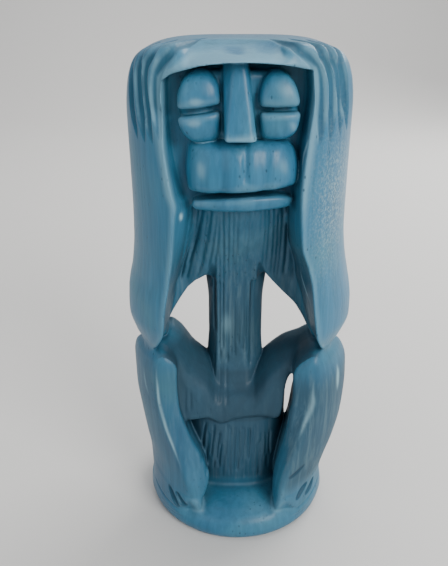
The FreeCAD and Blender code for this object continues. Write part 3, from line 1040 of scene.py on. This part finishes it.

# dust on upright faces deep in the painted shade, painted highlight lines, and the speckled patch of grain and
# painted sheen on the left forearm
UPRIGHT = unit(1.3 - 1.6 * np.abs(GRAD[:, 2]))
DUST = 0.34 * unit((PAINTED_SHADE - 0.3) / 0.5) * UPRIGHT * (1 - 0.6 * LAP)
SHINE = np.zeros(len(VERTS), np.float32)
for line, width, strength in HIGHLIGHT_LINES:
    points = np.array(smooth_line(line, 24))
    taper = np.sin(np.pi * np.linspace(0.02, 0.98, len(points))) ** 0.7
    at, amount = near_line(points, 0.2 - 2.4 * width * (1 - taper), width)
    SHINE[at] = np.maximum(SHINE[at], amount * strength)
# the left forearm's speckled grain and painted sheen
SPECKLED_SHEEN = np.exp(-((VX - 41) / 9) ** 2 - ((VZ - 178) / 26) ** 2) * unit((-2 - VY) / 16)

# ---- the paint

PAINT = ((0.30, (0.022, 0.115, 0.215)), (0.52, (0.034, 0.155, 0.26)), (0.72, (0.055, 0.19, 0.265)))
STREAK = (0.055, 0.2, 0.31)
# painted shade, deep inside and low down
PAINTED_SHADE_COLOUR = (0.02, 0.044, 0.06)
DUSTY = (0.12, 0.19, 0.215)
# painted shade in crevices and cuts
CREVICE_SHADE_COLOUR = (0.006, 0.034, 0.062)
# paler worn edges, partly a painted highlight on ridges
RUBBED_HIGHLIGHT = (0.15, 0.32, 0.41)
# pale speckles: grain, and a painted sheen
SPECKLED_SHEEN_COLOUR = (0.36, 0.47, 0.47)
# painted highlight
GLINT = (0.34, 0.58, 0.66)
PORE = (0.012, 0.05, 0.085)
DULL_ROUGHNESS = (0.8, 0.8, 0.8)
BUMP_DEPTH = 0.0006

paint = bpy.data.materials.new("painted_wood")
paint.use_nodes = True
tree = paint.node_tree
bsdf = tree.nodes["Principled BSDF"]


def node(kind, **values):
    n = tree.nodes.new(kind)
    for key, value in values.items():
        setattr(n, key, value)
    return n


def link(a, b):
    tree.links.new(a, b)


def attribute(name):
    return node("ShaderNodeAttribute", attribute_name=name).outputs["Fac"]


def is_socket(value):
    return isinstance(value, bpy.types.NodeSocket)


def mapped(scale, shift=(0, 0, 0)):
    n = node("ShaderNodeMapping")
    n.inputs["Location"].default_value = shift
    n.inputs["Scale"].default_value = scale
    link(COORDS.outputs["Object"], n.inputs["Vector"])
    return n.outputs["Vector"]


def noise(scale, detail, rough=0.55, stretch=(1, 1, 1), warp=0.0, shift=(0, 0, 0)):
    n = node("ShaderNodeTexNoise")
    n.inputs["Scale"].default_value = scale
    n.inputs["Detail"].default_value = detail
    n.inputs["Roughness"].default_value = rough
    n.inputs["Distortion"].default_value = warp
    link(mapped(stretch, shift), n.inputs["Vector"])
    return n.outputs["Fac"]


def ramp(source, *stops):
    """Each stop is (place, grey or colour)."""
    n = node("ShaderNodeValToRGB")
    while len(n.color_ramp.elements) < len(stops):
        n.color_ramp.elements.new(0.5)
    for element, (place, colour) in zip(n.color_ramp.elements, stops):
        element.position = place
        element.color = (*colour, 1) if isinstance(colour, tuple) else (colour, colour, colour, 1)
    link(source, n.inputs["Fac"])
    return n.outputs["Color"]


def mix(kind, amount, a, b):
    n = node("ShaderNodeMix", data_type="RGBA", blend_type=kind)
    for name, value in (("Factor", amount), ("A", a), ("B", b)):
        factor = name == "Factor"
        target = [i for i in n.inputs if i.name == name and i.type == ("VALUE" if factor else "RGBA")][0]
        if is_socket(value):
            link(value, target)
        else:
            target.default_value = value if factor else (*value, 1)
    return [o for o in n.outputs if o.type == "RGBA"][0]


def maths(kind, a, b):
    n = node("ShaderNodeMath", operation=kind)
    for socket, value in zip(n.inputs, (a, b)):
        if is_socket(value):
            link(value, socket)
        else:
            socket.default_value = value
    return n.outputs[0]


COORDS = node("ShaderNodeTexCoord")
crevice_shade = attribute("crevice_shade")
wear_and_highlight = attribute("edge_wear_and_highlight")
painted_shade = attribute("painted_shade")
patches = noise(22, 3, 0.5, warp=0.4)
streaks = noise(60, 4, 0.6, (1, 1, 0.12), 0.3, (0.0, 0.0, 0.03))
grain = noise(420, 4, 0.6, (1, 1, 0.06), 0.5)
brush = noise(900, 3, 0.6, (1, 1, 0.2))
pores = node("ShaderNodeTexVoronoi", feature="F1")
pores.inputs["Scale"].default_value = 420
link(mapped((1, 1, 0.55)), pores.inputs["Vector"])
thin = noise(35, 2)

colour = ramp(patches, *PAINT)
colour = mix("MIX", ramp(streaks, (0.42, 0.0), (0.75, 0.55)), colour, STREAK)
colour = mix("MULTIPLY", 0.55, colour, ramp(grain, (0.3, 0.62), (0.62, 1.0)))
# painted shade, darker deep inside, facing inward and low down
amount = ramp(maths("MULTIPLY", painted_shade, 0.8), (0.0, 0.0), (1.0, 0.96))
colour = mix("MIX", maths("MULTIPLY", amount, ramp(streaks, (0.3, 1.0), (0.8, 0.72))), colour, PAINTED_SHADE_COLOUR)
dust = maths("MULTIPLY", attribute("dust"), ramp(noise(420, 4, 0.65, (1, 1, 0.06), 0.2), (0.48, 0.0), (0.66, 1.0)))
colour = mix("MIX", maths("MULTIPLY", dust, ramp(crevice_shade, (0.1, 1.0), (0.7, 0.3))), colour, DUSTY)
# painted shade in crevices, cuts and where parts meet
colour = mix("MIX", ramp(crevice_shade, (0.22, 0.0), (0.8, 0.7)), colour, CREVICE_SHADE_COLOUR)
# paler worn edges, partly a painted highlight on ridges
amount = ramp(maths("MULTIPLY", wear_and_highlight, streaks), (0.08, 0.0), (0.3, 0.7))
colour = mix("MIX", maths("MULTIPLY", amount, ramp(painted_shade, (0.0, 1.0), (0.6, 0.25))), colour, RUBBED_HIGHLIGHT)
shine = attribute("shine")
speckled_sheen = attribute("speckled_sheen")
crumb = noise(950, 4, 0.7, (1, 1, 0.8))
# pale speckles on the left forearm: grain, and a painted sheen
colour = mix("MIX", maths("MULTIPLY", speckled_sheen, ramp(crumb, (0.46, 0.0), (0.66, 0.7))), colour, SPECKLED_SHEEN_COLOUR)
# painted highlight lines
colour = mix("MIX", maths("MULTIPLY", shine, ramp(streaks, (0.35, 0.35), (0.6, 1.0))), colour, GLINT)
speck = ramp(pores.outputs["Distance"], (0.10, 1.0), (0.2, 0.0))
speck = maths("MULTIPLY", speck, ramp(thin, (0.5, 0.0), (0.62, 1.0)))
colour = mix("MIX", maths("MULTIPLY", speck, 0.7), colour, PORE)
link(colour, bsdf.inputs["Base Color"])
dull = maths("MAXIMUM", ramp(crevice_shade, (0.2, 0.0), (0.6, 0.8)), ramp(painted_shade, (0.1, 0.0), (1.0, 0.6)))
link(mix("MIX", dull, ramp(patches, (0.3, 0.30), (0.7, 0.46)), DULL_ROUGHNESS), bsdf.inputs["Roughness"])
bsdf.inputs["Coat Weight"].default_value = 0.08
bsdf.inputs["Coat Roughness"].default_value = 0.2
bsdf.inputs["Specular IOR Level"].default_value = 0.22

height = maths("ADD", maths("MULTIPLY", grain, 0.5), streaks)
height = maths("ADD", height, maths("MULTIPLY", brush, 0.25))
height = maths("SUBTRACT", height, maths("MULTIPLY", speck, 0.9))
bump = node("ShaderNodeBump")
bump.inputs["Strength"].default_value = 0.4
bump.inputs["Distance"].default_value = BUMP_DEPTH
link(height, bump.inputs["Height"])
link(bump.outputs["Normal"], bsdf.inputs["Normal"])

# ---- one visible piece for each node

CARRIED = {"crevice_shade": CREVICE_SHADE, "edge_wear_and_highlight": EDGE_WEAR_AND_HIGHLIGHT, "painted_shade": PAINTED_SHADE, "shine": SHINE, "speckled_sheen": SPECKLED_SHEEN, "dust": DUST}
for i, name in enumerate(NAMES):
    quads = QUADS[WHO == i]
    used, inverse = np.unique(quads, return_inverse=True)
    quads = inverse.reshape(quads.shape)
    mesh = bpy.data.meshes.new("carved_" + name)
    mesh.vertices.add(len(used))
    mesh.vertices.foreach_set("co", (VERTS[used] * MM).astype(np.float32).ravel())
    mesh.loops.add(quads.size)
    mesh.loops.foreach_set("vertex_index", quads.ravel().astype(np.int32))
    mesh.polygons.add(len(quads))
    mesh.polygons.foreach_set("loop_start", (np.arange(len(quads)) * 4).astype(np.int32))
    mesh.polygons.foreach_set("use_smooth", np.ones(len(quads), bool))
    mesh.update(calc_edges=True)
    mesh.normals_split_custom_set_from_vertices(GRAD[used].astype(float).tolist())
    mesh.materials.append(paint)
    for key, values in CARRIED.items():
        mesh.attributes.new(key, "FLOAT", "POINT").data.foreach_set("value", values[used].astype(np.float32))
    piece = bpy.data.objects.new("carved_" + name, mesh)
    show(piece)
    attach(piece, "root")
    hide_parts(name)

# ---- floor, light, camera

# a level floor that sweeps up into a backdrop, as (y, z) in metres
FLOOR_FRONT, BEND, BEND_RADIUS, TOP, HALF_WIDTH = -4.0, 1.1, 1.5, 4.0, 6.0
profile = [(FLOOR_FRONT, 0.0), (BEND, 0.0)]
profile += [(BEND + BEND_RADIUS * math.sin(a), BEND_RADIUS - BEND_RADIUS * math.cos(a))
            for a in np.linspace(0.06, math.pi / 2, 24)]
profile += [(BEND + BEND_RADIUS, TOP)]
sweep = [(x, y, z) for y, z in profile for x in (-HALF_WIDTH, HALF_WIDTH)]
faces = [(2 * i, 2 * i + 1, 2 * i + 3, 2 * i + 2) for i in range(len(profile) - 1)]
floor_mesh = bpy.data.meshes.new("floor")
floor_mesh.from_pydata(sweep, [], faces)
for face in floor_mesh.polygons:
    face.use_smooth = True
floor = bpy.data.objects.new("floor", floor_mesh)
show(floor)
pale = bpy.data.materials.new("floor")
pale.use_nodes = True
matt = pale.node_tree.nodes["Principled BSDF"]
matt.inputs["Base Color"].default_value = (0.54, 0.53, 0.51, 1)
matt.inputs["Roughness"].default_value = 0.7
floor.data.materials.append(pale)

world = bpy.data.worlds.new("studio")
bpy.context.scene.world = world
world.use_nodes = True
sky = world.node_tree.nodes["Background"]
sky.inputs["Color"].default_value = (0.9, 0.93, 1.0, 1)
sky.inputs["Strength"].default_value = 0.55

WHITE = (1.0, 1.0, 1.0)
MIDDLE = (0, 0, 0.12)
# name, place, size, watts, colour and what it points at
LIGHTS = [
    ("window_back_right", (0.75, 0.7, 0.75), (0.9, 0.6), 15, WHITE, MIDDLE),
    ("key_front_right", (0.56, -0.74, 0.68), (0.5, 0.5), 10.5, (1.0, 0.995, 0.98), MIDDLE),
    ("fill_front_left", (-0.7, -0.7, 0.6), (0.8, 0.8), 2.5, (0.95, 0.98, 1.0), MIDDLE),
    ("strip_right", (0.72, -0.36, 0.1), (0.06, 0.5), 0.35, WHITE, MIDDLE),
    ("ceiling", (0.0, 0.25, 1.2), (1.0, 0.8), 6.5, WHITE, MIDDLE),
    ("backdrop", (0.0, 0.9, 1.5), (1.6, 0.4), 26, WHITE, (0.0, 2.3, 0.3)),
]
for name, where, size, power, tint, target in LIGHTS:
    light = bpy.data.lights.new(name, "AREA")
    light.shape = "RECTANGLE"
    light.size, light.size_y = size
    light.energy = power
    light.color = tint
    lamp = bpy.data.objects.new(name, light)
    lamp.location = where
    lamp.rotation_euler = (Vector(target) - Vector(where)).to_track_quat("-Z", "Y").to_euler()
    show(lamp)

FOCAL_LENGTH, FRAME_HEIGHT = 606.0, 566.0  # in pixels
SENSOR = 36
LOOKING_DOWN = 25
camera_data = bpy.data.cameras.new("camera")
camera_data.sensor_fit = "AUTO"
camera_data.sensor_width = SENSOR
camera_data.lens = FOCAL_LENGTH / FRAME_HEIGHT * SENSOR
camera = bpy.data.objects.new("camera", camera_data)
camera.location = (-0.007, -0.277, 0.254)
camera.rotation_euler = (math.radians(90 - LOOKING_DOWN), 0, 0)
camera_data.clip_start = 0.01
show(camera)
bpy.context.scene.camera = camera
